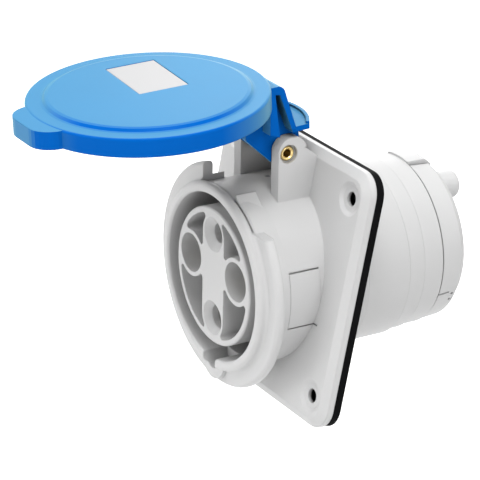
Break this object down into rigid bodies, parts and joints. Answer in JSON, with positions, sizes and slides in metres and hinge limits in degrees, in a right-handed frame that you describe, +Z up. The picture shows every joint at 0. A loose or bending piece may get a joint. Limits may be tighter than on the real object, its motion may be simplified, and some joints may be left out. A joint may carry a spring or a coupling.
{
  "type": "industrial panel socket",
  "caption": "Angled flush-mounting industrial socket with round contact insert, square gasketed flange, closed rear body and a spring-hinged round lid standing open.",
  "frame": {"origin": "centre of the panel face, at the back of the flange gasket", "axes": "-Y out of the panel towards the user, +Y into the panel, +Z up along the flange, +X to the user's right; the socket axis leans 10.9 degrees down in front"},
  "size_m": [0.091, 0.1736, 0.1113],
  "materials": {
    "housing_grey": "fine moulded satin",
    "insert_grey": "fine moulded satin",
    "lid_blue": "smooth moulded",
    "seal_black": "matte",
    "brass": "bare",
    "steel": "zinc plated",
    "plate_white": "bare plate"
  },
  "bodies": {
    "housing": {"flange_housing": "housing_grey", "panel_gasket": "seal_black", "contact_carrier": "insert_grey", "contact_l1": "brass", "contact_l2": "brass", "contact_l3": "brass", "contact_earth": "brass", "contact_rings": "steel", "terminal_screws": "steel", "carrier_screws": "steel", "terminal_housing": "housing_grey", "rear_cap": "housing_grey", "cap_screws": "steel", "cap_knob": "housing_grey", "cable_grommet": "seal_black", "cord_clamp": "insert_grey", "clamp_screws": "steel", "hinge_pin": "brass", "lid_spring": "steel"},
    "lid": {"lid_cover": "lid_blue", "lid_seal": "seal_black", "lid_label": "plate_white"}
  },
  "joints": [
    {"name": "lid_hinge", "type": "hinge", "parent": "housing", "child": "lid", "pos_m": [0, -0.01837, 0.04229], "axis": [1, 0, 0], "range_deg": [-30, 86.8], "deforming": ["lid_spring"]}
  ]
}
